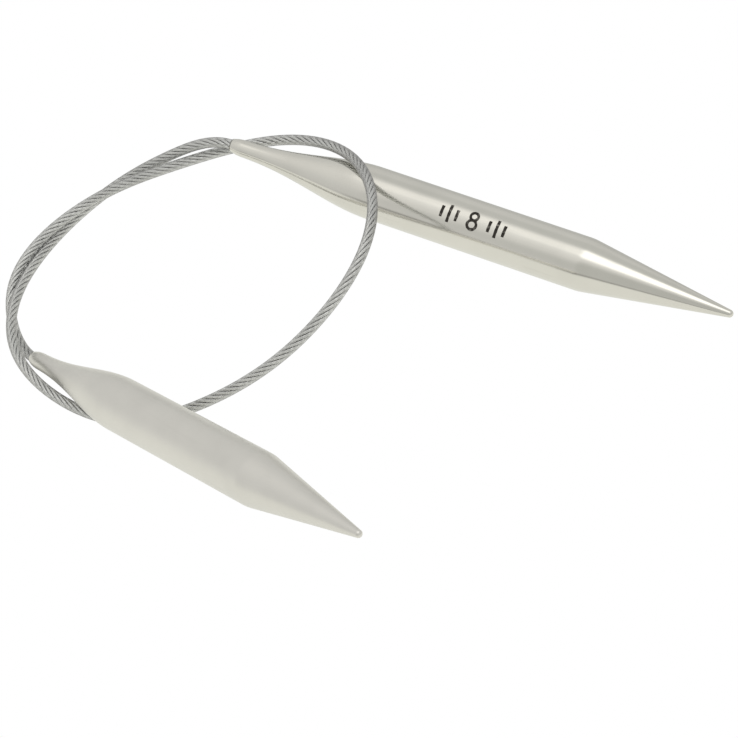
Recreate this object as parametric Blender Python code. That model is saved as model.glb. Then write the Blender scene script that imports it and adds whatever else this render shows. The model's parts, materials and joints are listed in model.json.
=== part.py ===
"""Fixed circular knitting needle, 8 mm, about 400 mm long from point to point.

Two hollow steel tips are joined by one length of nylon-coated steel rope. The
rope lies in a coil of about one and a third turns, and the needle rests on the
point of tip A and on the front and the left side of the coil. Tip A passes
under the rope at its shoulder, and the neck of tip B lies over it.

The rope is cut into short sections, and three of the cuts are hinges: one near
the mouth of tip A, where that tip swings level, and two near the mouth of
tip B, where that tip is raised and swung in.

Lengths are in millimetres until the mesh is made, which is in metres. Left is
-X, the front is -Y and up is +Z. At the end the needle is moved so that the
origin is under the middle of its bounding box, at its foot.
"""

import math

import bmesh
import bpy
import numpy as np
from mathutils import Vector

METRES = 0.001  # one millimetre
SHARP_ANGLE = 35.0  # degrees between faces, above which an edge is sharp

# ---------------------------------------------------------------- tips
# A place along a tip is its distance from the mouth, the open end of the neck.
SHAFT_R = 8.0 / 2  # half the knitting size
TIP_LENGTH = 81.4  # mouth to the end of the point
NECK_LENGTH = 24.3  # mouth to the full shaft radius
CONE_START = 58.6
POINT_R = 0.58  # rounding of the point
POINT_CENTRE = TIP_LENGTH - POINT_R
MOUTH_R = 1.28  # outer radius the neck swells from, before the lip draws it in
LIP_LENGTH, LIP_DEPTH = 2.0, 0.34  # how the neck draws in to its mouth
NECK_SWELL = 1.4  # how late the neck swells: 1 is an even S
NECK_RINGS = 8
TIP_FACETS = 24

# Bore of a tip
SHELL_WALL = 0.8
MOUTH_BORE_R = 0.9
BUSH_BORE_R = 1.12  # where the bush sits
BUSH_BORE_LEAD, BUSH_BORE_TAIL = 0.3, 1.6  # how far that bore outruns the bush
BUSH_BORE_TAPER = 0.6  # length of its step down to the mouth bore
BORE_END = CONE_START + 14.0
BORE_END_R, BORE_END_TAPER = 0.9, 0.5  # blunt cone that closes the bore

# ---------------------------------------------------------------- crimp bush
BUSH_FROM, BUSH_TO = 5.3, 12.6  # from the mouth, inwards
BUSH_R = 1.04
BUSH_HOLE_R = 0.74
BUSH_FACETS = 16

# ---------------------------------------------------------------- cable
COAT_R = 0.785
COAT_BORE_R = 0.705
COAT_FACETS = 16
COAT_STEP = 2.4  # longest step between rings
COAT_INSIDE = 4.6  # how far the coat goes into a neck
ROPE_R = 0.655  # over the crowns of the six outer strands
STRANDS = 6
ROPE_GROOVE = 0.1  # depth of the groove between two strands
LAY_LENGTH = 8.3  # one turn of a strand, right hand
ROPE_STEP = 1.5  # longest step between rings
ROPE_INSIDE = 12.9  # how far the bare rope goes into a neck
LOOP_SECTIONS = 16  # between the hinge of tip A and the first hinge of tip B
CUT_GAP = 0.1  # clear space at a plain cut
# Each hinge: its distance from the mouth of its tip, and its full turn in degrees.
HINGE_A_SWING = (4.6, 28.0)
HINGE_B_RAISE = (7.0, 30.0)
HINGE_B_SWING = (3.6, 40.0)
HINGE_SPARE = 0.06  # left between the edges of the coat at the full turn

# ---------------------------------------------------------------- coil
# The coil is laid round a tilted axis, and its stations are at even steps of
# the turn, counter-clockwise from above.
COIL_CENTRE = (-72.5, 36.5, 8.3)
COIL_TILT = 16.0  # degrees, of the axis from the vertical
COIL_TILT_TO = 194.0  # degrees, the way the axis leans
COIL_FROM, COIL_STEP = 78.0, 36.0  # degrees
COIL_STATIONS = (
    # distance from the axis, lift along it
    (22.6, 1.9),  # left of the mouth of tip A
    (28.22, -1.8),
    (28.62, 1.7),
    (27.1, 3.1),  # at the far left, near the mouth of tip B
    (24.1, -1.8),  # under the neck of tip B
    (23.2, -1.3),  # at the front
    (26.3, 0.3),
    (31.6, 1.9),
    (30.6, -0.5),  # over the shoulder of tip A
    (25.7, -1.6),  # behind the neck of tip A
    (20.8, 1.3),
    (26.87, 0.1),
    (30.25, 1.7),
)

# ---------------------------------------------------------------- places of the tips
# Bearing is in degrees from +X, rise in degrees above level.
TIP_A_MOUTH = (-59.7, 53.7, 14.8)
TIP_A_BEARING, TIP_A_RISE = -41.7, -10.1
TIP_B_MOUTH = (-97.99, 37.42, 1.69)
TIP_B_BEARING, TIP_B_RISE = -60.7, 11.6

# ---------------------------------------------------------------- centreline sampling
SPAN_SAMPLES = 400  # between two stations
TANGENT_REACH = 0.2  # to each side of a point, to find its direction
AXES_STEP = 0.25  # between stored cross axes
AXES_BEYOND = 20.0  # how far they go on past each end


# ================================================================ curve
def unit(vector):
    vector = np.asarray(vector, float)
    return vector / np.linalg.norm(vector)


def heading(bearing, rise):
    bearing, rise = math.radians(bearing), math.radians(rise)
    level = math.cos(rise)
    return np.array((math.cos(bearing) * level, math.sin(bearing) * level, math.sin(rise)))


def square_to(vector, direction):
    """Unit vector across a direction, as near to the given vector as it can be."""
    return unit(vector - vector.dot(direction) * direction)


def axes_across(direction):
    """Two unit vectors across a direction, the first as near to down as it can be."""
    direction = unit(direction)
    first = square_to(np.array((0.0, 0.0, -1.0)), direction)
    return first, np.cross(direction, first)


class Centreline:
    """Smooth curve through points, with given directions at its two ends."""

    def __init__(self, points, start, end):
        points = np.asarray(points, float)
        self.start, self.end = unit(start), unit(end)
        self.samples = self.sample(points, start, end)
        steps = np.linalg.norm(np.diff(self.samples, axis=0), axis=1)
        self.length_at = np.concatenate([[0.0], np.cumsum(steps)])
        self.length = float(self.length_at[-1])
        self.axes_at = np.arange(-AXES_BEYOND, self.length + AXES_BEYOND, AXES_STEP)
        self.axes = self.untwisted_axes()

    @staticmethod
    def slopes(points, chords, start, end):
        """Slope at each point that makes the curvature run on from span to span."""
        count = len(points)
        matrix, target = np.zeros((count, count)), np.zeros((count, 3))
        matrix[0, 0] = matrix[-1, -1] = 1.0
        target[0], target[-1] = start, end
        for i in range(1, count - 1):
            before, after = chords[i - 1], chords[i]
            matrix[i, i - 1 : i + 2] = after, 2 * (before + after), before
            target[i] = 3 * (
                after * (points[i] - points[i - 1]) / before
                + before * (points[i + 1] - points[i]) / after
            )
        return np.linalg.solve(matrix, target)

    @classmethod
    def sample(cls, points, start, end):
        """Closely spaced points on the curve, by cubic Hermite spans."""
        chords = np.linalg.norm(np.diff(points, axis=0), axis=1)
        slopes = cls.slopes(points, chords, start, end)
        t = np.linspace(0, 1, SPAN_SAMPLES, endpoint=False)[:, None]
        spans = [
            (2 * t**3 - 3 * t**2 + 1) * points[i]
            + (t**3 - 2 * t**2 + t) * chord * slopes[i]
            + (-2 * t**3 + 3 * t**2) * points[i + 1]
            + (t**3 - t**2) * chord * slopes[i + 1]
            for i, chord in enumerate(chords)
        ]
        return np.concatenate(spans + [points[-1:]])

    def untwisted_axes(self):
        """Cross axes that turn with the curve but don't twist about it."""
        axis = axes_across(self.along(self.axes_at[0]))[0]
        axes = []
        for distance in self.axes_at:
            axis = square_to(axis, self.along(distance))
            axes.append(axis)
        return np.array(axes)

    def at(self, distance):
        """Point at a distance along the curve; beyond an end it goes straight on."""
        if distance < 0:
            return self.samples[0] + distance * self.start
        if distance > self.length:
            return self.samples[-1] + (distance - self.length) * self.end
        return np.array([np.interp(distance, self.length_at, c) for c in self.samples.T])

    def along(self, distance):
        """Direction of the curve."""
        return unit(self.at(distance + TANGENT_REACH) - self.at(distance - TANGENT_REACH))

    def ring(self, distance, radii, turn=0.0):
        """Points round the curve at even angles, one for each radius."""
        direction = self.along(distance)
        stored = np.array([np.interp(distance, self.axes_at, c) for c in self.axes.T])
        first = square_to(stored, direction)
        second = np.cross(direction, first)
        centre = self.at(distance)
        points = []
        for k, radius in enumerate(radii):
            angle = turn + 2 * math.pi * k / len(radii)
            points.append(centre + radius * (math.cos(angle) * first + math.sin(angle) * second))
        return points


def coil_points():
    axis = heading(COIL_TILT_TO, 90.0 - COIL_TILT)
    first = unit(np.cross((0.0, 1.0, 0.0), axis))
    second = np.cross(axis, first)
    points = []
    for k, (distance, lift) in enumerate(COIL_STATIONS):
        angle = math.radians(COIL_FROM + COIL_STEP * k)
        outward = math.cos(angle) * first + math.sin(angle) * second
        points.append(np.array(COIL_CENTRE) + distance * outward + lift * axis)
    return points


TIP_A_DIRECTION = heading(TIP_A_BEARING, TIP_A_RISE)
TIP_B_DIRECTION = heading(TIP_B_BEARING, TIP_B_RISE)
CABLE = Centreline(
    [TIP_A_MOUTH] + coil_points() + [TIP_B_MOUTH], start=-TIP_A_DIRECTION, end=TIP_B_DIRECTION
)


def cable_cuts():
    """Where the cable is cut, from tip A to tip B, and the gap at each cut."""
    first, last = HINGE_A_SWING[0], CABLE.length - HINGE_B_RAISE[0]
    plain = np.linspace(first, last, LOOP_SECTIONS + 1)[1:-1]
    cuts = [(float(place), CUT_GAP) for place in plain]
    for place, turn in (
        (first, HINGE_A_SWING[1]),
        (last, HINGE_B_RAISE[1]),
        (CABLE.length - HINGE_B_SWING[0], HINGE_B_SWING[1]),
    ):
        closing = 2 * COAT_R * math.tan(math.radians(turn) / 2)
        cuts.append((place, closing + HINGE_SPARE))
    return sorted(cuts)


# ================================================================ objects and materials
def add_material(name, colour, roughness, metallic):
    material = bpy.data.materials.new(name)
    material.use_nodes = True
    shader = material.node_tree.nodes["Principled BSDF"]
    shader.inputs["Base Color"].default_value = (*colour, 1.0)
    shader.inputs["Roughness"].default_value = roughness
    shader.inputs["Metallic"].default_value = metallic
    material.diffuse_color = (*colour, 1.0)
    return material


def add_object(name, bm, material, parent=None, origin=None):
    """Makes an object of a mesh in world millimetres.

    Its origin is its parent's if it has one, and the point given if not.
    """
    if parent is not None:
        origin = parent["at_mm"]
    for vert in bm.verts:
        vert.co = (vert.co - Vector(origin)) * METRES
    bmesh.ops.recalc_face_normals(bm, faces=bm.faces)
    if bm.calc_volume(signed=True) < 0:
        bmesh.ops.reverse_faces(bm, faces=bm.faces)
    mesh = bpy.data.meshes.new(name)
    bm.to_mesh(mesh)
    bm.free()
    mesh.shade_smooth()
    mesh.set_sharp_from_angle(angle=math.radians(SHARP_ANGLE))
    mesh.materials.append(material)
    obj = bpy.data.objects.new(name, mesh)
    bpy.context.scene.collection.objects.link(obj)
    if parent is not None:
        obj.parent = parent
    else:
        obj.location = Vector(origin) * METRES


def add_hinge(name, place, parent=None):
    """Empty on the cable. It keeps its world place, in millimetres, for its children."""
    point = CABLE.at(place)
    hinge = bpy.data.objects.new(name, None)
    hinge.empty_display_size = 0.003  # metres
    bpy.context.scene.collection.objects.link(hinge)
    hinge["at_mm"] = [float(x) for x in point]
    hinge.location = Vector(point) * METRES
    if parent is not None:
        hinge.parent = parent
        hinge.location -= Vector(parent["at_mm"]) * METRES
    return hinge


# ================================================================ tips and bushes
def add_turned(name, profile, mouth, direction, material, facets, parent):
    """Turns a closed profile, given as (distance from the mouth, radius), about an axis.

    The ring starts half a facet off the down direction, so that a facet faces down.
    """
    bm = bmesh.new()
    half = math.pi / facets
    verts = [bm.verts.new((r * math.cos(half), r * math.sin(half), s)) for s, r in profile]
    for one, following in zip(verts, verts[1:] + verts[:1]):
        bm.edges.new((one, following))
    bmesh.ops.spin(
        bm,
        geom=bm.verts[:] + bm.edges[:],
        cent=(0, 0, 0),
        axis=(0, 0, 1),
        angle=2 * math.pi,
        steps=facets,
        use_duplicate=False,
    )
    # Joins the last ring to the first, and the points on the axis.
    bmesh.ops.remove_doubles(bm, verts=bm.verts, dist=1e-4)
    first, second = axes_across(direction)
    for vert in bm.verts:
        x, y, z = vert.co
        vert.co = Vector(np.array(mouth) + x * first + y * second + z * direction)
    add_object(name, bm, material, parent)


def tip_radius(distance):
    """Outer radius of a tip at a distance from its mouth."""
    if distance < NECK_LENGTH:
        part = distance / NECK_LENGTH
        swell = (part * part * (3 - 2 * part)) ** NECK_SWELL
        radius = MOUTH_R + (SHAFT_R - MOUTH_R) * swell
        if distance < LIP_LENGTH:
            radius -= LIP_DEPTH * (1 - distance / LIP_LENGTH) ** 2
        return radius
    if distance < CONE_START:
        return SHAFT_R
    if distance < POINT_CENTRE:
        part = (distance - CONE_START) / (POINT_CENTRE - CONE_START)
        return SHAFT_R + (POINT_R - SHAFT_R) * part
    return math.sqrt(POINT_R**2 - (distance - POINT_CENTRE) ** 2)


def tip_profile():
    """Outer side from the mouth to the point, then the bore back to the mouth."""
    outer = [0.0, LIP_LENGTH * 0.3, LIP_LENGTH * 0.7]
    outer += list(np.linspace(NECK_LENGTH * 0.12, NECK_LENGTH, NECK_RINGS))
    outer += [CONE_START, POINT_CENTRE, POINT_CENTRE + 0.6 * POINT_R]
    walled = (CONE_START + 7.0, CONE_START, NECK_LENGTH, NECK_LENGTH * 0.78)
    bush_bore_from = BUSH_FROM - BUSH_BORE_LEAD
    return [
        *((s, tip_radius(s)) for s in outer),
        (TIP_LENGTH, 0.0),
        (BORE_END, 0.0),
        (BORE_END - BORE_END_TAPER, BORE_END_R),
        *((s, tip_radius(s) - SHELL_WALL) for s in walled),
        (BUSH_TO + BUSH_BORE_TAIL, BUSH_BORE_R),
        (bush_bore_from, BUSH_BORE_R),
        (bush_bore_from - BUSH_BORE_TAPER, MOUTH_BORE_R),
        (0.0, MOUTH_BORE_R),
    ]


def bush_profile():
    return [
        (BUSH_FROM, BUSH_HOLE_R),
        (BUSH_FROM, BUSH_R),
        (BUSH_TO, BUSH_R),
        (BUSH_TO, BUSH_HOLE_R),
    ]


def add_tip(letter, mouth, direction, shell_steel, bush_steel, parent):
    for part, profile, material, facets in (
        ("shell", tip_profile(), shell_steel, TIP_FACETS),
        ("crimp_bush", bush_profile(), bush_steel, BUSH_FACETS),
    ):
        name = f"tip_{letter}_{part}"
        add_turned(name, profile, mouth, direction, material, facets, parent)


# ================================================================ cable sections
def loft(rings, joined=False):
    """Mesh through rings of equal count.

    The last ring is joined to the first, or else both are filled in.
    """
    bm = bmesh.new()
    made = [[bm.verts.new(Vector(point)) for point in ring] for ring in rings]
    count = len(made[0])
    for near, far in zip(made, made[1:] + (made[:1] if joined else [])):
        for k in range(count):
            j = (k + 1) % count
            bm.faces.new((near[k], near[j], far[j], far[k]))
    if not joined:
        bm.faces.new(made[0])
        bm.faces.new(made[-1])
    return bm


def places_between(low, high, step):
    return np.linspace(low, high, max(2, int(math.ceil((high - low) / step)) + 1))


def rope_mesh(low, high):
    """Six strands laid together, as one fluted, twisted bar."""
    radii = (ROPE_R, ROPE_R - ROPE_GROOVE) * STRANDS
    return loft(
        [
            CABLE.ring(place, radii, turn=2 * math.pi * place / LAY_LENGTH)
            for place in places_between(low, high, ROPE_STEP)
        ]
    )


def coat_mesh(low, high):
    """Thin nylon tube round one section of rope, open at both ends."""
    places = places_between(low, high, COAT_STEP)
    outer = [CABLE.ring(place, [COAT_R] * COAT_FACETS) for place in places]
    inner = [CABLE.ring(place, [COAT_BORE_R] * COAT_FACETS) for place in places]
    return loft(outer + inner[::-1], joined=True)


def add_cable(cuts, carriers, wire, nylon):
    """One rope and one coat for each section. Carriers are the hinges, by section."""
    edges = [(-ROPE_INSIDE, 0.0), *cuts, (CABLE.length + ROPE_INSIDE, 0.0)]
    for k, ((start, start_gap), (end, end_gap)) in enumerate(zip(edges, edges[1:])):
        low, high = start + start_gap / 2, end - end_gap / 2
        parent, origin = carriers.get(k), CABLE.at((low + high) / 2)
        add_object(f"cable_rope_{k:02d}", rope_mesh(low, high), wire, parent, origin)
        low, high = max(low, -COAT_INSIDE), min(high, CABLE.length + COAT_INSIDE)
        add_object(f"cable_coat_{k:02d}", coat_mesh(low, high), nylon, parent, origin)


# ================================================================ whole needle
def stand_on_origin():
    """Moves everything so that the origin is under the middle of the box, at its foot."""
    bpy.context.view_layer.update()
    corners = np.array(
        [
            obj.matrix_world @ vert.co
            for obj in bpy.data.objects
            if obj.type == "MESH"
            for vert in obj.data.vertices
        ]
    )
    low, high = corners.min(axis=0), corners.max(axis=0)
    foot = Vector(((low[0] + high[0]) / 2, (low[1] + high[1]) / 2, low[2]))
    for obj in bpy.data.objects:
        if obj.parent is None:
            obj.location -= foot
    bpy.context.view_layer.update()


def build():
    for obj in list(bpy.data.objects):
        bpy.data.objects.remove(obj)

    satin = add_material("tip_steel", colour=(0.69, 0.67, 0.63), roughness=0.3, metallic=1.0)
    bush = add_material("bush_steel", colour=(0.5, 0.5, 0.49), roughness=0.45, metallic=1.0)
    wire = add_material("rope_steel", colour=(0.6, 0.6, 0.59), roughness=0.35, metallic=1.0)
    nylon = add_material("clear_nylon", colour=(0.8, 0.8, 0.79), roughness=0.2, metallic=0.0)

    # Each hinge carries what lies beyond it, towards its tip.
    cuts = cable_cuts()
    swing_a = add_hinge("hinge_a_swing", cuts[0][0])
    raise_b = add_hinge("hinge_b_raise", cuts[-2][0])
    swing_b = add_hinge("hinge_b_swing", cuts[-1][0], raise_b)

    add_tip("a", TIP_A_MOUTH, TIP_A_DIRECTION, satin, bush, swing_a)
    add_tip("b", TIP_B_MOUTH, TIP_B_DIRECTION, satin, bush, swing_b)
    last = len(cuts)
    add_cable(cuts, {0: swing_a, last - 1: raise_b, last: swing_b}, wire, nylon)
    stand_on_origin()


build()
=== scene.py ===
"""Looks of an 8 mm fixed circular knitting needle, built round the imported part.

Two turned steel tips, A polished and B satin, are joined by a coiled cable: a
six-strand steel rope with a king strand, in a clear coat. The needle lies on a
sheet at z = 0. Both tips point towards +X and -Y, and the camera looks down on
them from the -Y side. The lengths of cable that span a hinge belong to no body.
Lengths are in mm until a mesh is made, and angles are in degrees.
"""

import json
import math

import bpy
import numpy as np
from mathutils import Matrix

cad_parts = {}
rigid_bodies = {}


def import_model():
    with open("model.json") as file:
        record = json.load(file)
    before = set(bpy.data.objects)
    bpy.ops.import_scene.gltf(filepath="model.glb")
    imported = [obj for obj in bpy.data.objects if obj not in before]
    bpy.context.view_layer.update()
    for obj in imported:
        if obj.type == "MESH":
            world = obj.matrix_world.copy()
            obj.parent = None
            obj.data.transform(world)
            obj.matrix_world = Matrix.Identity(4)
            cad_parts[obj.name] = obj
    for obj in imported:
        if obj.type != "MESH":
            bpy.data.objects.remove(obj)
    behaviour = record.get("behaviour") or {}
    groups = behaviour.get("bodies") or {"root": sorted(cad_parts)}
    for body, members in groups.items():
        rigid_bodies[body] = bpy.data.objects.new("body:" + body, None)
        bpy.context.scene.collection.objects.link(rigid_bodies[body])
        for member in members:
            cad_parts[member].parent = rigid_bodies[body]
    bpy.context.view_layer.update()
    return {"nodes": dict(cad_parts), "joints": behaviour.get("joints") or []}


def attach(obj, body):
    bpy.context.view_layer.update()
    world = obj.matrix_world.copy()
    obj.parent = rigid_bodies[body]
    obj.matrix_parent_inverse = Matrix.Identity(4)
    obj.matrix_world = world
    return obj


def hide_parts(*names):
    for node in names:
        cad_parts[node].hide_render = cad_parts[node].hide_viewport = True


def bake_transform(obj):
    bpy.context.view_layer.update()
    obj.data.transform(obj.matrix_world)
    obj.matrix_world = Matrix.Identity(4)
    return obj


MM = 0.001

# ---------------------------------------------------------------- tips
# Distances along a tip run from its mouth, where the cable enters, to its point.
SHAFT_R = 4.0
TIP_LENGTH = 81.4
NECK_LENGTH = 24.3
CONE_START = 58.6
POINT_R = 0.58
POINT_CENTRE = TIP_LENGTH - POINT_R
MOUTH_R = 1.28
LIP_LENGTH, LIP_DEPTH = 2.0, 0.34
NECK_SWELL = 1.4  # power that shapes the neck
BROKEN_EDGE = 0.03
CORNER_REACH, CORNER_SOFTNESS = 1.3, 0.55  # rounding of the edge at the cone
SHELL_WALL = 0.8
BORE_END = CONE_START + 14.0
MOUTH_BORE_R = 0.86
BUSH_BORE_R = 1.12
BUSH_FROM, BUSH_TO = 5.3, 12.6
TURNED_SEGMENTS = 128

# ---------------------------------------------------------------- size mark
STROKE_WIDTH, STROKE_STEP = 0.44, 0.1
MARK_SUNK, MARK_PROUD = 0.03, 0.009  # below and above the shaft's surface
MARK_TURN = 9.7  # round the shaft from the side that faces the camera
TICK_MIDDLE, TICK_GAP = 3.8, 1.2  # middle of a row from the figure, and its pitch
TICK_HEIGHT, LONG_TICK, SHORT_TICK = 1.43, 1.36, 0.86  # middle, half lengths

# ---------------------------------------------------------------- cable
COAT_R, COAT_BORE_R = 0.785, 0.71
COAT_POINTS, COAT_STEP = 48, 0.4
ROPE_R = 0.69
STRAND_R = ROPE_R / 3
STRANDS, WIRES = 6, 6
STRAND_FILL, STRAND_STEP = 0.985, 0.25
KING_FILL, KING_POINTS, KING_STEP = 0.96, 12, 0.8
LAY_LENGTH = 8.3  # of the strands, right hand
WIRE_LAY = 3.3  # of the wires in a strand, left hand
STRAND_SPIN = 0.7  # radians between the wires of one strand and of the next
WIRE_ANGLES = (-30, -20, -8, 8, 20)  # outline points on each wire
WIRE_RELIEF, GROOVE_FLOOR = 0.35, 0.70  # kept share of the relief, least radius
COAT_INSIDE, ROPE_INSIDE = 4.6, 12.9  # lengths hidden in the tips
HINGE_A = 4.6  # lengths of the hinges from the mouths of their tips
HINGE_B_RAISE, HINGE_B_SWING = 7.0, 3.6
END_A_CUT, END_B_CUT = 1.0, 1.6  # where the lengths across the hinges meet the tips
END_B_EXTRA = 2.0  # how far the length across the hinges at B runs past its raise hinge
BLEND_INSET = 0.12

# ---------------------------------------------------------------- coil
# Places here and below are in the axes of the coil, before the shift to the part.
COIL_CENTRE = (-72.5, 36.5, 8.3)
COIL_TILT, COIL_TILT_TO = 16.0, 194.0
COIL_FROM, COIL_STEP = 78.0, 36.0
# (distance from the coil's axis, lift along it), one station each COIL_STEP.
# Three stations stand up to 0.1 mm from the part's, so that the two runs side by
# side touch, where the part keeps a clearance.
COIL_STATIONS = (
    (22.6, 1.9), (28.22, -1.7), (28.62, 1.75), (27.1, 3.1), (24.1, -1.8),
    (23.2, -1.3), (26.3, 0.3), (31.6, 1.9), (30.6, -0.5), (25.7, -1.6),
    (20.8, 1.3), (26.77, 0.05), (30.25, 1.7),
)
TIP_A_MOUTH = (-59.7, 53.7, 14.8)
TIP_A_BEARING, TIP_A_RISE = -41.7, -10.1
TIP_B_MOUTH = (-97.99, 37.42, 1.69)
TIP_B_BEARING, TIP_B_RISE = -60.7, 11.6

# ---------------------------------------------------------------- camera, sheet
CAMERA_AT = (-51.04, -291.75, 307.70)
CAMERA_X = (0.9467, -0.2284, -0.2270)
CAMERA_Y = (0.3220, 0.6715, 0.6674)
CAMERA_BACK = (0.0, -0.7049, 0.7093)
LENS, SENSOR = 146.34, 36.0
CLIP_NEAR, CLIP_FAR = 0.01, 20.0  # metres
SHEET_HALF, SHEET_DROP = 3.0, 0.0001  # metres


# ================================================================ geometry
def unit(vector):
    vector = np.asarray(vector, float)
    return vector / np.linalg.norm(vector)


def unit_rows(rows):
    return rows / np.linalg.norm(rows, axis=1, keepdims=True)


def square_to(rows, axes):
    """Unit rows with their parts along the axes taken out."""
    return unit_rows(rows - (rows * axes).sum(1, keepdims=True) * axes)


def heading(bearing, rise):
    bearing, rise = math.radians(bearing), math.radians(rise)
    return np.array(
        (
            math.cos(bearing) * math.cos(rise),
            math.sin(bearing) * math.cos(rise),
            math.sin(rise),
        )
    )


def round_angles(count):
    return 2 * math.pi * np.arange(count) / count


def stations(low, high, step):
    return np.linspace(low, high, max(2, int(math.ceil((high - low) / step)) + 1))


def coil_points():
    tilt, lean = math.radians(COIL_TILT), math.radians(COIL_TILT_TO)
    axis = np.array(
        (
            math.sin(tilt) * math.cos(lean),
            math.sin(tilt) * math.sin(lean),
            math.cos(tilt),
        )
    )
    across = unit(np.cross((0.0, 1.0, 0.0), axis))
    other = np.cross(axis, across)
    points = []
    for k, (distance, lift) in enumerate(COIL_STATIONS):
        angle = math.radians(COIL_FROM + COIL_STEP * k)
        away = math.cos(angle) * across + math.sin(angle) * other
        points.append(np.array(COIL_CENTRE) + distance * away + lift * axis)
    return points


def spline_slopes(points, chords, start, end):
    """Slopes of the smooth cubic through the points, with both end slopes given."""
    count = len(points)
    matrix, target = np.zeros((count, count)), np.zeros((count, 3))
    matrix[0, 0] = matrix[-1, -1] = 1.0
    target[0], target[-1] = start, end
    for i in range(1, count - 1):
        before, after = chords[i - 1], chords[i]
        matrix[i, i - 1 : i + 2] = after, 2 * (before + after), before
        target[i] = 3 * (
            after * (points[i] - points[i - 1]) / before
            + before * (points[i + 1] - points[i]) / after
        )
    return np.linalg.solve(matrix, target)


class Centreline:
    """The cable's middle, with two cross axes that don't twist about it.

    Distances run from the mouth of tip A to that of tip B. A straight length
    carries on into each tip.
    """

    STEP = 0.05
    SAMPLES = 400  # in each span of the spline
    REACH, TRIM = 20.0, 0.5  # straight length at each end, and what is left off it

    def __init__(self, points, start, end):
        points = np.asarray(points, float)
        chords = np.linalg.norm(np.diff(points, axis=0), axis=1)
        slopes = spline_slopes(points, chords, start, end)
        x = np.linspace(0, 1, self.SAMPLES, endpoint=False)[:, None]
        spans = [
            (2 * x**3 - 3 * x**2 + 1) * points[i]
            + (x**3 - 2 * x**2 + x) * chords[i] * slopes[i]
            + (-2 * x**3 + 3 * x**2) * points[i + 1]
            + (x**3 - x**2) * chords[i] * slopes[i + 1]
            for i in range(len(points) - 1)
        ]
        before = points[:1] - self.REACH * unit(start)
        after = points[-1:] + self.REACH * unit(end)
        fine = np.vstack([before, *spans, points[-1:], after])
        steps = np.linalg.norm(np.diff(fine, axis=0), axis=1)
        lengths = np.concatenate([[0.0], np.cumsum(steps)]) - self.REACH
        self.length = float(lengths[-1] - self.REACH)
        spare = self.REACH - self.TRIM
        self.distances = np.arange(-spare, self.length + spare, self.STEP)
        self.middles = np.stack(
            [np.interp(self.distances, lengths, fine[:, k]) for k in range(3)], 1
        )
        self.tangents = unit_rows(np.gradient(self.middles, axis=0))
        side = np.array((0.0, 0.0, -1.0))
        sides = []
        for tangent in self.tangents:
            side = unit(side - side.dot(tangent) * tangent)
            sides.append(side)
        self.sides = np.array(sides)

    def move(self, shift):
        self.middles = self.middles + shift

    def pick(self, values, distances):
        return np.stack(
            [np.interp(distances, self.distances, values[:, k]) for k in range(3)], 1
        )

    def frames(self, distances):
        """Middles and the two cross axes at the distances."""
        tangents = unit_rows(self.pick(self.tangents, distances))
        sides = square_to(self.pick(self.sides, distances), tangents)
        return self.pick(self.middles, distances), sides, np.cross(tangents, sides)

    def at(self, distance):
        return self.pick(self.middles, np.array([float(distance)]))[0]


# ================================================================ meshes
def mesh_object(name, verts, faces, material, smooth=True, sharp=None, own=None):
    """A mesh, in metres. Its own coordinates, if given, are kept for its material."""
    mesh = bpy.data.meshes.new(name)
    mesh.from_pydata([tuple(vert) for vert in verts], [], faces)
    mesh.update()
    if own is not None:
        kept = mesh.attributes.new("own", "FLOAT_VECTOR", "POINT")
        kept.data.foreach_set("vector", np.asarray(own, np.float32).ravel())
    if smooth:
        mesh.shade_smooth()
    if sharp:
        mesh.set_sharp_from_angle(angle=math.radians(sharp))
    mesh.materials.append(material)
    obj = bpy.data.objects.new(name, mesh)
    bpy.context.scene.collection.objects.link(obj)
    return obj


def tube_faces(rings, points, first=0, closed=False, caps=True):
    """Quads between rings of equal count, numbered from first. The rings' points
    go round right handed about the way the rings go."""
    faces = []
    for ring in range(rings if closed else rings - 1):
        here = first + ring * points
        there = first + ((ring + 1) % rings) * points
        for k in range(points):
            j = (k + 1) % points
            faces.append((here + k, here + j, there + j, there + k))
    if caps and not closed:
        faces.append(tuple(first + points - 1 - k for k in range(points)))
        end = first + (rings - 1) * points
        faces.append(tuple(end + k for k in range(points)))
    return faces


# ---------------------------------------------------------------- cable
def wire_outline():
    """Angles and relative radii of a strand's outline: six wires round a seventh."""
    wire_at, wire_r = 2 / 3, 1 / 3  # shares of the strand's radius
    angles, radii = [], []
    for k in range(WIRES):
        for degrees in WIRE_ANGLES:
            angle = math.radians(degrees)
            root = math.sqrt(max(wire_r**2 - (wire_at * math.sin(angle)) ** 2, 0.0))
            edge = max(wire_at * math.cos(angle) + root, GROOVE_FLOOR)
            angles.append(math.radians(360 / WIRES * k) + angle)
            radii.append(1 + WIRE_RELIEF * (edge - 1))
    return np.array(angles), np.array(radii)


def rings_round(middles, across, other, radii, angles):
    """Rings of points. Radii and angles have a row for each ring, or one for all."""
    return (
        middles[:, None, :]
        + (radii * np.cos(angles))[..., None] * across[:, None, :]
        + (radii * np.sin(angles))[..., None] * other[:, None, :]
    )


def strand_rings(cable, distances, index):
    """Rings of one outer strand, laid in a right-hand helix round the king strand."""
    middles, across, other = cable.frames(distances)
    lay = 2 * math.pi * distances / LAY_LENGTH + 2 * math.pi * index / STRANDS
    out = np.cos(lay)[:, None] * across + np.sin(lay)[:, None] * other
    middles = middles + (ROPE_R - STRAND_R) * out
    tangents = unit_rows(np.gradient(middles, axis=0))
    out = square_to(out, tangents)
    angles, radii = wire_outline()
    spin = -2 * math.pi * distances / WIRE_LAY + index * STRAND_SPIN
    return rings_round(
        middles,
        out,
        np.cross(tangents, out),
        STRAND_R * STRAND_FILL * radii[None, :],
        angles[None, :] + spin[:, None],
    )


def round_rings(cable, distances, radius, points):
    return rings_round(*cable.frames(distances), radius, round_angles(points)[None, :])


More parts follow.
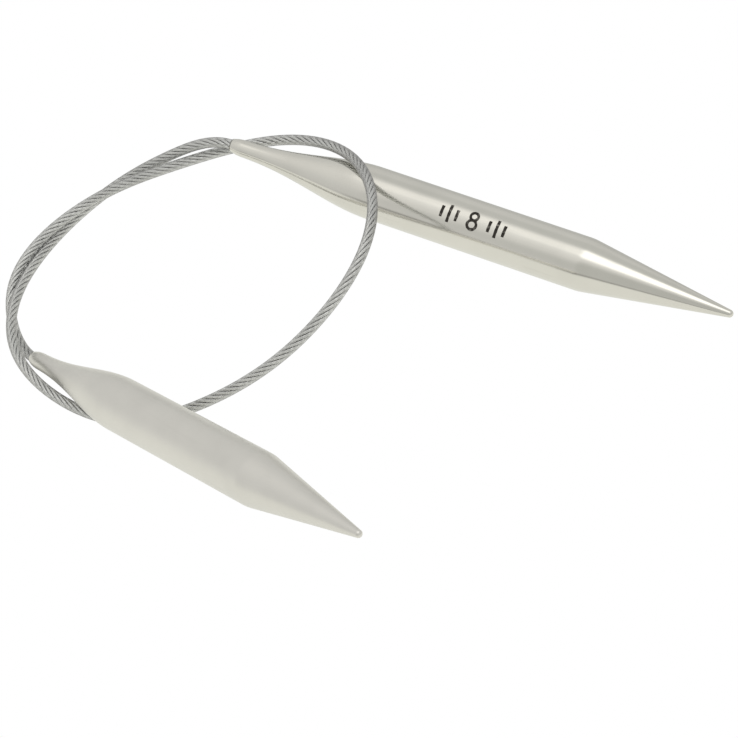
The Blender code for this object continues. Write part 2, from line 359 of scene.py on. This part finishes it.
def strands(name, cable, low, high, material):
    """The six outer strands. Their own coordinates are, in metres, how far each
    point is from the middle of the rope and how far along it, and then a
    thousandth of its strand's number."""
    distances = stations(low, high, STRAND_STEP)
    middles = cable.frames(distances)[0]
    verts, faces, own = [], [], []
    for index in range(STRANDS):
        rings = strand_rings(cable, distances, index)
        faces += tube_faces(rings.shape[0], rings.shape[1], len(verts))
        verts += list(rings.reshape(-1, 3) * MM)
        away = np.linalg.norm(rings - middles[:, None, :], axis=2)
        along = np.broadcast_to(distances[:, None], away.shape)
        number = np.full(away.shape, float(index))
        own.append(np.stack([away, along, number], 2).reshape(-1, 3))
    own = np.concatenate(own) * MM
    return mesh_object(name, verts, faces, material, sharp=70, own=own)


def king_strand(name, cable, low, high, material):
    distances = stations(low, high, KING_STEP)
    rings = round_rings(cable, distances, STRAND_R * KING_FILL, KING_POINTS)
    faces = tube_faces(len(rings), KING_POINTS)
    return mesh_object(name, rings.reshape(-1, 3) * MM, faces, material, sharp=70)


def coat(name, cable, low, high, material):
    """The coat, open for the rope. Its own coordinates are how far round each point
    is from strand 0, as a cosine and a sine, and 1 on the outer wall but 0 on the
    bore."""
    distances = stations(low, high, COAT_STEP)
    outer = round_rings(cable, distances, COAT_R, COAT_POINTS)
    bore = round_rings(cable, distances, COAT_BORE_R, COAT_POINTS)[::-1]
    rings = np.concatenate([outer, bore])
    faces = tube_faces(len(rings), COAT_POINTS, closed=True)
    both = np.concatenate([distances, distances[::-1]])
    lay = 2 * math.pi * both[:, None] / LAY_LENGTH
    phase = STRANDS * (round_angles(COAT_POINTS)[None, :] - lay)
    outside = np.repeat([1.0, 0.0], len(distances))[:, None]
    wall = np.broadcast_to(outside, phase.shape)
    own = np.stack([np.cos(phase), np.sin(phase), wall], 2).reshape(-1, 3)
    verts = rings.reshape(-1, 3) * MM
    return mesh_object(name, verts, faces, material, sharp=50, own=own)


# ---------------------------------------------------------------- tips
def smoothstep(x):
    x = np.clip(x, 0.0, 1.0)
    return x * x * (3 - 2 * x)


def tip_radius(distance):
    if distance < NECK_LENGTH:
        share = float(smoothstep(distance / NECK_LENGTH)) ** NECK_SWELL
        radius = MOUTH_R + (SHAFT_R - MOUTH_R) * share
        if distance < LIP_LENGTH:
            radius -= LIP_DEPTH * (1 - distance / LIP_LENGTH) ** 2
        return radius
    if distance < CONE_START:
        return SHAFT_R
    if distance < POINT_CENTRE:
        share = (distance - CONE_START) / (POINT_CENTRE - CONE_START)
        return SHAFT_R + (POINT_R - SHAFT_R) * share
    return math.sqrt(max(POINT_R**2 - (distance - POINT_CENTRE) ** 2, 0.0))


def eased_radius(distance):
    """Radius with the edge between shaft and cone rounded, as polishing does."""
    if abs(distance - CONE_START) >= CORNER_REACH:
        return tip_radius(distance)
    offsets = np.linspace(-1.4, 1.4, 29)
    weights = np.exp(-((offsets / CORNER_SOFTNESS) ** 2))
    weights /= weights.sum()
    return sum(w * tip_radius(distance + by) for w, by in zip(weights, offsets))


def bore_profile():
    """(distance, radius) down the bore, from beside its blind end to the mouth."""
    profile = [(BORE_END - 0.2, 0.5), (BORE_END - 0.5, 0.9)]
    for distance in np.linspace(CONE_START + 7.0, NECK_LENGTH * 0.78, 40):
        profile.append((distance, tip_radius(distance) - SHELL_WALL))
    return profile + [
        (BUSH_TO + 1.6, BUSH_BORE_R),
        (BUSH_FROM - 0.3, BUSH_BORE_R),
        (BUSH_FROM - 0.9, MOUTH_BORE_R),
        (0.05, MOUTH_BORE_R),
        (0.0, MOUTH_BORE_R + 0.02),
    ]


def outer_profile():
    """(distance, radius) up the outside, from the mouth to beside the point."""
    distances = [0.02, 0.05, 0.1, 0.16]
    distances += list(np.linspace(0.25, NECK_LENGTH, 96))
    distances += list(np.linspace(NECK_LENGTH, CONE_START - 0.5, 34)[1:])
    distances += list(np.linspace(CONE_START - 0.4, CONE_START + 0.6, 7))
    distances += list(np.linspace(CONE_START + 1.2, POINT_CENTRE, 40))
    distances += [
        POINT_CENTRE + POINT_R * math.sin(math.radians(angle)) for angle in range(6, 88, 6)
    ]
    mouth_edge = (0.0, tip_radius(0.0) - BROKEN_EDGE)
    return [mouth_edge] + [(distance, eased_radius(distance)) for distance in distances]


def tip_axes(direction):
    """Rows X, Y, Z of a tip: Z runs from its mouth to its point, X is its underside."""
    z = unit(direction)
    down = np.array((0.0, 0.0, -1.0))
    x = unit(down - down.dot(z) * z)
    return np.stack([x, np.cross(z, x), z])


def tip_object(name, own, faces, mouth, direction, material, sharp):
    """A mesh given in the axes of its tip, which stay as its own coordinates."""
    verts = own @ tip_axes(direction) + mouth
    return mesh_object(name, verts * MM, faces, material, sharp=sharp, own=own * MM)


def turned_shell(name, mouth, direction, material):
    """Smooth hollow shell, closed on the axis at the bore's end and at the point."""
    count = TURNED_SEGMENTS
    angles = round_angles(count)
    rings = [
        np.stack(
            [radius * np.cos(angles), radius * np.sin(angles), np.full(count, distance)], 1
        )
        for distance, radius in bore_profile() + outer_profile()
    ]
    ends = np.array([[0, 0, BORE_END], [0, 0, TIP_LENGTH]])
    faces = tube_faces(len(rings), count, caps=False)
    last_ring = (len(rings) - 1) * count
    bore_end = len(rings) * count
    point = bore_end + 1
    for k in range(count):
        j = (k + 1) % count
        faces.append((bore_end, j, k))
        faces.append((point, last_ring + k, last_ring + j))
    own = np.concatenate(rings + [ends])
    return tip_object(name, own, faces, mouth, direction, material, sharp=40)


# ---------------------------------------------------------------- size mark
# A stroke is its points, as (along the shaft, up), and whether it is closed.
def ellipse(up, half_along, half_up, steps):
    angles = [math.radians(360 * k / steps) for k in range(steps)]
    points = [(half_along * math.cos(a), up + half_up * math.sin(a)) for a in angles]
    return points, True


def figure_eight():
    return [
        ellipse(up=0.84, half_along=0.70, half_up=0.69, steps=36),
        ellipse(up=2.13, half_along=0.59, half_up=0.60, steps=32),
    ]


def ticks(middle):
    """A row of three ticks, the middle one taller."""
    strokes = []
    for offset, reach in ((-TICK_GAP, SHORT_TICK), (0.0, LONG_TICK), (TICK_GAP, SHORT_TICK)):
        x = middle + offset
        strokes.append(([(x, TICK_HEIGHT - reach), (x, TICK_HEIGHT + reach)], False))
    return strokes


def mark_stroke(points, closed, foot, verts, faces):
    """Adds one stroke as a thin plate that lies on the shaft, foot being the angle
    of the figure's base."""
    path = np.array(points + points[:1] if closed else points, float)
    run = np.concatenate([[0.0], np.cumsum(np.linalg.norm(np.diff(path, axis=0), axis=1))])
    even = stations(0.0, run[-1], STROKE_STEP)
    path = np.stack([np.interp(even, run, path[:, k]) for k in range(2)], 1)
    if closed:
        path = path[:-1]
        before, after = np.roll(path, 1, axis=0), np.roll(path, -1, axis=0)
    else:
        before = np.vstack([path[:1], path[:-1]])
        after = np.vstack([path[1:], path[-1:]])
    ways = unit_rows(after - before)
    normals = np.stack([-ways[:, 1], ways[:, 0]], 1)
    across = (-0.5, -0.17, 0.17, 0.5)  # shares of the width
    section = [(share, SHAFT_R - MARK_SUNK) for share in across]
    section += [(share, SHAFT_R + MARK_PROUD) for share in reversed(across)]
    middle = (NECK_LENGTH + CONE_START) / 2
    first = len(verts)
    for (x, y), normal in zip(path, normals):
        # The burn is a little wider in some places than in others.
        uneven = 1 + 0.13 * math.sin(5.1 * x + 3.7 * y) * math.cos(2.9 * y)
        for share, radius in section:
            along, up = (x, y) + share * STROKE_WIDTH * uneven * normal
            turn = foot - up / SHAFT_R
            verts.append((radius * math.cos(turn), radius * math.sin(turn), middle + along))
    faces += tube_faces(len(path), len(section), first, closed=closed)


def size_mark(mouth, direction, camera_at, material):
    """A plain size figure between two rows of ticks, burnt into the shaft of tip A."""
    x, y, _ = tip_axes(direction) @ (camera_at - mouth)
    foot = math.atan2(y, x) + math.radians(MARK_TURN)
    layout = (
        ("size_mark_ticks_before", ticks(-TICK_MIDDLE)),
        ("size_mark_figure", figure_eight()),
        ("size_mark_ticks_after", ticks(TICK_MIDDLE)),
    )
    made = []
    for name, strokes in layout:
        verts, faces = [], []
        for points, closed in strokes:
            mark_stroke(points, closed, foot, verts, faces)
        own = np.array(verts)
        made.append(tip_object(name, own, faces, mouth, direction, material, sharp=30))
    return made


# ================================================================ materials
def grey(level):
    return (level, level, level)


class Nodes:
    """Adds nodes to a tree. Most methods give back the new node's output socket."""

    def __init__(self, tree):
        self.tree = tree
        tree.nodes.clear()

    def fill(self, socket, value):
        if isinstance(value, bpy.types.NodeSocket):
            self.tree.links.new(value, socket)
        else:
            socket.default_value = value

    def add(self, kind, inputs=None, **settings):
        node = self.tree.nodes.new(kind)
        for key, value in settings.items():
            setattr(node, key, value)
        for key, value in (inputs or {}).items():
            self.fill(node.inputs[key], value)
        return node

    def own(self):
        return self.add("ShaderNodeAttribute", attribute_name="own").outputs["Vector"]

    def object_place(self):
        return self.add("ShaderNodeTexCoord").outputs["Object"]

    def split(self, vector):
        return self.add("ShaderNodeSeparateXYZ", {"Vector": vector}).outputs

    def mapping(self, vector, **settings):
        inputs = {"Vector": vector, **settings}
        return self.add("ShaderNodeMapping", inputs).outputs[0]

    def noise(self, vector, scale, detail, roughness):
        inputs = {"Vector": vector, "Scale": scale, "Detail": detail, "Roughness": roughness}
        return self.add("ShaderNodeTexNoise", inputs).outputs["Fac"]

    def ramp(self, share, stops):
        """Stops are (position, colour)."""
        node = self.add("ShaderNodeValToRGB", {"Fac": share})
        elements = node.color_ramp.elements
        while len(elements) > 1:
            elements.remove(elements[-1])
        elements[0].position, elements[0].color = stops[0][0], (*stops[0][1], 1)
        for position, colour in stops[1:]:
            elements.new(position).color = (*colour, 1)
        return node.outputs["Color"]

    def math(self, operation, first, second=0.0):
        node = self.add("ShaderNodeMath", operation=operation)
        for socket, value in zip(node.inputs, (first, second, 0.0)):
            self.fill(socket, value)
        return node.outputs[0]

    def dot(self, vector, way):
        inputs = {0: vector, 1: tuple(way)}
        return self.add("ShaderNodeVectorMath", inputs, operation="DOT_PRODUCT").outputs["Value"]

    def span(self, value, low, high, to_low=0.0, to_high=1.0, kind="LINEAR"):
        """The value mapped from low..high to to_low..to_high."""
        return self.add(
            "ShaderNodeMapRange",
            {
                "Value": value,
                "From Min": low,
                "From Max": high,
                "To Min": to_low,
                "To Max": to_high,
            },
            interpolation_type=kind,
        ).outputs["Result"]

    def soft(self, value, low, high, to_low=0.0, to_high=1.0):
        return self.span(value, low, high, to_low, to_high, kind="SMOOTHSTEP")

    def mix(self, share, under, over, blend="MIX"):
        """Lays a colour, or a socket, over the socket under it."""
        if isinstance(over, tuple):
            over = (*over, 1)
        inputs = {"Fac": share, "Color1": under, "Color2": over}
        return self.add("ShaderNodeMixRGB", inputs, blend_type=blend).outputs["Color"]

    def white_to_camera(self, colour):
        seen = self.add("ShaderNodeLightPath").outputs["Is Camera Ray"]
        return self.mix(seen, colour, grey(1))

    def bump(self, height, distance, strength):
        inputs = {"Height": height, "Distance": distance, "Strength": strength}
        return self.add("ShaderNodeBump", inputs).outputs["Normal"]

    def principled(self, inputs):
        return self.add("ShaderNodeBsdfPrincipled", inputs)

    def surface(self, shader):
        self.add("ShaderNodeOutputMaterial", {"Surface": shader.outputs[0]})


def new_material(name):
    material = bpy.data.materials.new(name)
    material.use_nodes = True
    return material, Nodes(material.node_tree)


def hairline_scratches(nodes, place):
    """Rare hairline scratches, from two sets of long thin cells."""
    sets = []
    for turn, where in ((0.5, 0.0), (-0.9, 3.7)):
        cells = nodes.mapping(
            place,
            Location=(where, where, where),
            Rotation=(turn, 0.3 * turn, turn),
            Scale=(1500.0, 1500.0, 70.0),
        )
        hair = nodes.noise(cells, scale=1.0, detail=1.0, roughness=0.4)
        sets.append(nodes.span(hair, low=0.70, high=0.76))
    return nodes.math("MAXIMUM", *sets)


def steel(name, colour, rough, spread, haze, lines, wear):
    """Steel of a tip: fine marks round it, faint cloudiness, rare scratches and a ring of
    painted shade at the mouth.

    Spread is the change of roughness. Haze, lines and wear are how strong the
    fine grain, the tool lines and the scratches are.
    """
    material, nodes = new_material(name)
    place = nodes.own()
    rings = nodes.mapping(place, Scale=(60.0, 60.0, 9000.0))
    turned = nodes.noise(rings, scale=1.0, detail=3.0, roughness=0.6)
    lengthwise = nodes.mapping(place, Scale=(2600.0, 2600.0, 55.0))
    drawn = nodes.noise(lengthwise, scale=1.0, detail=2.0, roughness=0.5)
    cloud = nodes.noise(place, scale=130.0, detail=4.0, roughness=0.55)
    fine = nodes.noise(place, scale=1400.0, detail=2.0, roughness=0.6)
    scratches = hairline_scratches(nodes, place)
    darker = tuple(c * 0.955 for c in colour)
    lighter = tuple(min(c * 1.03, 0.96) for c in colour)
    tint = nodes.ramp(cloud, [(0.30, darker), (0.55, colour), (0.78, lighter)])
    wear_and_mouth_shade = nodes.mix(nodes.math("MULTIPLY", scratches, wear), tint, (0.42, 0.41, 0.39))
    # The thin dark seam where the swaged mouth closes on the cable.
    # Painted shade: a thin dark ring at the mouth, for the shadow where the cable enters the
    # bore.
    along = nodes.split(place)["Z"]
    mouth_shade = nodes.span(along, low=0.00010, high=0.00024, to_low=0.28)
    wear_and_mouth_shade = nodes.mix(1.0, wear_and_mouth_shade, mouth_shade, "MULTIPLY")
    roughness = rough
    for texture in (cloud, turned):
        change = nodes.math("MULTIPLY", nodes.math("SUBTRACT", texture, 0.5), spread)
        roughness = nodes.math("ADD", roughness, change)
    roughness = nodes.math("ADD", roughness, nodes.math("MULTIPLY", scratches, wear * 0.6))
    height = nodes.math(
        "ADD",
        nodes.math("MULTIPLY", turned, lines),
        nodes.math(
            "ADD",
            nodes.math("MULTIPLY", drawn, lines * 0.6),
            nodes.math("MULTIPLY", fine, haze),
        ),
    )
    height = nodes.math("SUBTRACT", height, nodes.math("MULTIPLY", scratches, wear))
    shader_inputs = {
        "Base Color": wear_and_mouth_shade,
        "Metallic": 1.0,
        "Roughness": roughness,
        "Normal": nodes.bump(height, distance=0.00002, strength=0.5),
        "Specular Tint": (0.98, 0.99, 1.0, 1.0),
    }
    nodes.surface(nodes.principled(shader_inputs))
    return material


def groove_shade(nodes, colour):
    """Darkens the colour towards the bottoms of the grooves between strands."""
    away = nodes.split(nodes.own())["X"]
    deep, crest = (ROPE_R - 1.15 * STRAND_R) * MM, (ROPE_R - 0.12 * STRAND_R) * MM
    height = nodes.soft(away, deep, crest)
    shade = nodes.ramp(height, [(0.0, grey(0.44)), (0.5, grey(0.78)), (1.0, grey(1.0))])
    return nodes.mix(1.0, colour, shade, "MULTIPLY")


def wire_steel(name, light, dark, rough, grooves=False):
    """Drawn steel wire: a slight change from place to place, and dark in the grooves."""
    material, nodes = new_material(name)
    place = nodes.object_place()
    patch = nodes.noise(place, scale=700.0, detail=2.0, roughness=0.5)
    slow = nodes.noise(place, scale=160.0, detail=2.0, roughness=0.5)
    share = nodes.math(
        "ADD", nodes.math("MULTIPLY", patch, 0.5), nodes.math("MULTIPLY", slow, 0.5)
    )
    colour = nodes.ramp(share, [(0.32, dark), (0.58, light)])
    if grooves:
        colour = groove_shade(nodes, colour)
    bump = nodes.bump(patch, distance=0.00001, strength=0.2)
    shader_inputs = {
        "Base Color": colour,
        "Metallic": 1.0,
        "Roughness": nodes.span(patch, 0.3, 0.7, to_low=rough - 0.05, to_high=rough + 0.07),
        "Normal": bump,
    }
    nodes.surface(nodes.principled(shader_inputs))
    return material


def clear_nylon(name):
    """Thin clear nylon. It bends light, so the strands seem to reach its outline."""
    material, nodes = new_material(name)
    waves = nodes.noise(nodes.object_place(), scale=420.0, detail=2.0, roughness=0.5)
    bump = nodes.bump(waves, distance=0.00006, strength=0.3)
    facing = nodes.add("ShaderNodeLayerWeight", {"Blend": 0.5}).outputs["Facing"]
    behind = nodes.add("ShaderNodeNewGeometry").outputs["Backfacing"]
    parts = nodes.split(nodes.own())
    # Only the outer wall, seen from outside, mirrors or shows the strands.
    front = nodes.math("SUBTRACT", 1.0, behind)
    front = nodes.math("MULTIPLY", front, nodes.math("GREATER_THAN", parts["Z"], 0.999))
    # The mirror share grows from 0.04 face on by up to 0.3 at the outline.
    mirror = nodes.math("MULTIPLY", nodes.math("POWER", facing, 5.0), 0.3)
    mirror = nodes.math("MULTIPLY", nodes.math("ADD", mirror, 0.04), front)
    edge = nodes.soft(facing, low=0.34, high=0.62, to_low=0.03, to_high=0.96)
    edge = nodes.math("MULTIPLY", edge, front)
    # What the rope looks like through the edges of its coat, groove to crest.
    strand = nodes.ramp(
        nodes.span(parts["X"], low=-1.0, high=1.0),
        [(0.0, grey(0.25)), (0.35, grey(0.37)), (1.0, grey(0.47))],
    )
    clear = nodes.add("ShaderNodeBsdfTransparent", {"Color": (0.975, 0.978, 0.97, 1)})
    seen = nodes.principled(
        {"Base Color": strand, "Metallic": 0.85, "Roughness": 0.5, "Normal": bump}
    )
    gloss = nodes.add(
        "ShaderNodeBsdfGlossy",
        {"Color": (0.95, 0.95, 0.95, 1), "Roughness": 0.14, "Normal": bump},
    )
    shader = clear
    for share, over in ((edge, seen), (mirror, gloss)):
        inputs = {0: share, 1: shader.outputs[0], 2: over.outputs[0]}
        shader = nodes.add("ShaderNodeMixShader", inputs)
    nodes.surface(shader)
    return material


def burnt_mark(name):
    """Oxide left by a marking laser: near black, with fine browner grains."""
    material, nodes = new_material(name)
    place = nodes.own()
    grain = nodes.noise(place, scale=5200.0, detail=3.0, roughness=0.7)
    colour = nodes.ramp(
        grain,
        [
            (0.36, (0.012, 0.010, 0.008)),
            (0.60, (0.035, 0.029, 0.023)),
            (0.76, (0.16, 0.145, 0.12)),
        ],
    )
    # Here and there the burn is thin and the steel shows through it.
    thin = nodes.noise(place, scale=1250.0, detail=2.0, roughness=0.6)
    thin = nodes.span(thin, low=0.54, high=0.70, to_high=0.75)
    colour = nodes.mix(thin, colour, (0.40, 0.385, 0.35))
    bump = nodes.bump(grain, distance=0.00002, strength=0.6)
    shader_inputs = {"Base Color": colour, "Roughness": 0.62, "Metallic": 0.35, "Normal": bump}
    nodes.surface(nodes.principled(shader_inputs))
    return material


def white_sheet(mouth_a, direction_a, mouth_b, direction_b):
    """A glowing white sheet, pure white to the camera and a duller cream in what the tips
    mirror of it. There it has painted shade behind tip A and a painted shadow close under the
    neck of tip B. Distances in it are in metres."""
    material, nodes = new_material("white_sheet")
    place = nodes.add("ShaderNodeNewGeometry").outputs["Position"]
    # Painted shade behind tip A, in what the tips mirror of the sheet.
    back = unit((-direction_a[1], direction_a[0], 0.0))
    behind = nodes.dot(place, back)
    start = float(back @ mouth_a) * MM
    shade = nodes.soft(behind, low=start, high=start + 0.007)
    lit = nodes.ramp(shade, [(0.0, (0.87, 0.865, 0.81)), (1.0, (0.57, 0.565, 0.54))])
    # Painted shadow close under the neck of tip B, in what the tips mirror of the sheet.
    ahead = unit((direction_b[0], direction_b[1], 0.0))
    aside = np.array((-ahead[1], ahead[0], 0.0))
    along, off = (
        nodes.math("SUBTRACT", nodes.dot(place, way), float(way @ mouth_b) * MM)
        for way in (ahead, aside)
    )
    under = nodes.soft(
        nodes.math("ABSOLUTE", off), low=0.0025, high=0.0065, to_low=1.0, to_high=0.0
    )
    fade_out = nodes.soft(along, low=0.010, high=0.017, to_low=1.0, to_high=0.0)
    under = nodes.math("MULTIPLY", under, fade_out)
    fade_in = nodes.soft(along, low=-0.006, high=-0.001)
    under = nodes.math("MULTIPLY", under, fade_in)
    lit = nodes.mix(under, lit, (0.24, 0.235, 0.21))
    colour = nodes.white_to_camera(lit)
    nodes.surface(nodes.add("ShaderNodeEmission", {"Color": colour, "Strength": 1.0}))
    return material


# ================================================================ surroundings
def sky_patch(nodes, way, under, towards, inner, outer, colour, amount=1.0):
    """A round patch of sky, full within the inner angle and gone at the outer one.
    Towards is its (bearing, rise)."""
    share = nodes.soft(
        nodes.dot(way, heading(*towards)),
        low=math.cos(math.radians(outer)),
        high=math.cos(math.radians(inner)),
        to_high=amount,
    )
    return nodes.mix(share, under, colour)


def surroundings():
    """A white tent: pale grey walls, a bright panel overhead, a dim camera side."""
    world = bpy.data.worlds.new("tent")
    bpy.context.scene.world = world
    world.use_nodes = True
    nodes = Nodes(world.node_tree)
    way = nodes.add("ShaderNodeTexCoord").outputs["Generated"]
    up = nodes.split(way)["Z"]
    sky = nodes.ramp(
        nodes.span(up, low=-1.0, high=1.0),
        [
            (0.0, (0.86, 0.86, 0.82)),
            (0.49, (0.84, 0.83, 0.79)),
            (0.515, (0.66, 0.655, 0.635)),
            (0.70, (0.68, 0.675, 0.655)),
            (0.82, (0.725, 0.72, 0.70)),
            (0.88, (0.77, 0.76, 0.735)),
            (0.94, (0.81, 0.80, 0.775)),
            (1.0, (0.95, 0.94, 0.91)),
        ],
    )
    # The dark edge of the sheet, on the camera side.
    across = nodes.split(way)["Y"]
    rim = nodes.math("ABSOLUTE", nodes.math("SUBTRACT", up, 0.085))
    rim = nodes.soft(rim, low=0.0, high=0.12, to_low=1.0, to_high=0.0)
    strength = nodes.span(across, low=-0.52, high=-0.22, to_low=0.80, to_high=0.08)
    rim = nodes.math("MULTIPLY", rim, strength)
    sky = nodes.mix(rim, sky, (0.13, 0.125, 0.11))
    # The far wall is lighter low down, where the sheet lights it.
    far = nodes.dot(way, heading(bearing=128, rise=0))
    far = nodes.soft(far, low=0.60, high=0.88)
    lowness = nodes.soft(up, low=0.08, high=0.24, to_low=1.0, to_high=0.0)
    far = nodes.math("MULTIPLY", far, lowness)
    sky = nodes.mix(far, sky, (0.80, 0.795, 0.77))
    # (towards, inner angle, outer angle, colour, amount)
    patches = (
        ((-118, 30), 12, 34, (0.565, 0.565, 0.54), 1.0),  # the camera side
        ((50, 48), 10, 24, (0.62, 0.62, 0.60), 1.0),  # high on the far side
        ((-30, 78), 8, 24, (1.55, 1.53, 1.49), 1.0),  # the bright panel
        ((110, 80), 4, 16, (1.06, 1.04, 1.00), 0.8),  # beside the panel
    )
    for patch in patches:
        sky = sky_patch(nodes, way, sky, *patch)
    inputs = {"Color": nodes.white_to_camera(sky), "Strength": 1.0}
    background = nodes.add("ShaderNodeBackground", inputs)
    nodes.add("ShaderNodeOutputWorld", {"Surface": background.outputs[0]})


def floor(material):
    half = SHEET_HALF
    corners = [(-half, -half, 0), (half, -half, 0), (half, half, 0), (-half, half, 0)]
    obj = mesh_object("white_sheet", corners, [(0, 1, 2, 3)], material, smooth=False)
    obj.location.z = -SHEET_DROP


def camera(at):
    data = bpy.data.cameras.new("camera")
    data.lens, data.sensor_width, data.sensor_fit = LENS, SENSOR, "HORIZONTAL"
    data.clip_start, data.clip_end = CLIP_NEAR, CLIP_FAR
    obj = bpy.data.objects.new("camera", data)
    matrix = np.eye(4)
    for k, axis in enumerate((CAMERA_X, CAMERA_Y, CAMERA_BACK)):
        matrix[:3, k] = unit(axis)
    matrix[:3, 3] = at * MM
    obj.matrix_world = Matrix(matrix.tolist())
    bpy.context.scene.collection.objects.link(obj)
    bpy.context.scene.camera = obj


# ================================================================ the scene
def make_materials():
    return {
        "polished": steel(
            "polished_steel",
            colour=(0.76, 0.75, 0.70),
            rough=0.15,
            spread=0.04,
            haze=0.02,
            lines=0.03,
            wear=0.06,
        ),
        "satin": steel(
            "satin_steel",
            colour=(0.78, 0.768, 0.73),
            rough=0.38,
            spread=0.06,
            haze=0.12,
            lines=0.08,
            wear=0.03,
        ),
        "wires": wire_steel(
            "wire_steel",
            light=(0.735, 0.735, 0.745),
            dark=(0.61, 0.61, 0.62),
            rough=0.38,
            grooves=True,
        ),
        "core": wire_steel(
            "core_steel", light=(0.40, 0.40, 0.39), dark=(0.25, 0.25, 0.24), rough=0.4
        ),
        "bush": wire_steel(
            "bush_steel", light=(0.50, 0.50, 0.48), dark=(0.40, 0.40, 0.38), rough=0.5
        ),
        "nylon": clear_nylon("clear_nylon"),
        "burnt": burnt_mark("laser_mark"),
    }


def build_tip(frame, letter, mouth, direction, material, bush_material):
    shell = turned_shell(f"tip_{letter}_turned_shell", mouth, direction, material)
    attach(shell, f"tip_{letter}")
    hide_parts(f"tip_{letter}_shell")
    bush = frame["nodes"][f"tip_{letter}_crimp_bush"]
    bush.data.materials.clear()
    bush.data.materials.append(bush_material)


def cable_ranges(length, last):
    """(name, from, to, the body or the two bodies, first and last CAD section)."""
    end_a, loop_from = END_A_CUT, 2 * HINGE_A - END_A_CUT
    loop_to = length - HINGE_B_RAISE - END_B_EXTRA
    between_hinges = length - (HINGE_B_RAISE + HINGE_B_SWING) / 2
    end_b = length - END_B_CUT
    third = (loop_to - loop_from) / 3
    cuts = [1 + round((last - 2) * k / 3) for k in range(4)]
    loop = [
        (
            f"loop_{side}",
            loop_from + k * third,
            loop_from + (k + 1) * third,
            ("cable_loop",),
            (cuts[k], cuts[k + 1] - 1),
        )
        for k, side in enumerate(("left", "front", "back"))
    ]
    inner_bodies, outer_bodies = ("cable_loop", "cable_end_b"), ("cable_end_b", "tip_b")
    return [
        ("in_tip_a", -ROPE_INSIDE, end_a, ("tip_a",), (0, 0)),
        ("end_a", end_a, loop_from, ("tip_a", "cable_loop"), None),
        *loop,
        ("end_b_inner", loop_to, between_hinges, inner_bodies, (last - 1, last - 1)),
        ("end_b_outer", between_hinges, end_b, outer_bodies, None),
        ("in_tip_b", end_b, length + ROPE_INSIDE, ("tip_b",), (last, last)),
    ]


def build_cable(frame, cable, materials):
    last = max(int(name[-2:]) for name in frame["nodes"] if name.startswith("cable_rope_"))
    for name, low, high, bodies, sections in cable_ranges(cable.length, last):
        coat_low, coat_high = max(low, -COAT_INSIDE), min(high, cable.length + COAT_INSIDE)
        rope = strands(f"cable_strands_{name}", cable, low, high, materials["wires"])
        king = king_strand(f"cable_king_{name}", cable, low, high, materials["core"])
        cover = coat(f"cable_coat_{name}", cable, coat_low, coat_high, materials["nylon"])
        for obj, slot in ((rope, "rope_steel"), (king, "rope_steel"), (cover, "clear_nylon")):
            if len(bodies) == 1:
                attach(obj, bodies[0])
            else:
                start = cable.at(low + BLEND_INSET) * MM
                end = cable.at(high - BLEND_INSET) * MM
                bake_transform(obj)
        if sections:
            for k in range(sections[0], sections[1] + 1):
                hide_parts(f"cable_rope_{k:02d}")
                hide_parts(f"cable_coat_{k:02d}")


def main():
    for obj in list(bpy.data.objects):
        bpy.data.objects.remove(obj)
    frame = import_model()
    view = bpy.context.scene.view_settings
    view.view_transform = "Standard"
    view.look = "None"

    direction_a = heading(TIP_A_BEARING, TIP_A_RISE)
    direction_b = heading(TIP_B_BEARING, TIP_B_RISE)
    path = [TIP_A_MOUTH] + coil_points() + [TIP_B_MOUTH]
    cable = Centreline(path, -direction_a, direction_b)
    # The part stands on its origin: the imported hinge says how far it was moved.
    hinge = next(joint for joint in frame["joints"] if joint["name"] == "tip_a_swing")
    shift = np.array(hinge["pos_m"]) / MM - cable.at(HINGE_A)
    cable.move(shift)
    mouth_a = np.array(TIP_A_MOUTH) + shift
    mouth_b = np.array(TIP_B_MOUTH) + shift
    camera_at = np.array(CAMERA_AT) + shift

    materials = make_materials()
    bush = materials["bush"]
    build_tip(frame, "a", mouth_a, direction_a, materials["polished"], bush)
    build_tip(frame, "b", mouth_b, direction_b, materials["satin"], bush)
    camera(camera_at)
    for mark in size_mark(mouth_a, direction_a, camera_at, materials["burnt"]):
        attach(mark, "tip_a")
    build_cable(frame, cable, materials)
    surroundings()
    floor(white_sheet(mouth_a, direction_a, mouth_b, direction_b))


main()
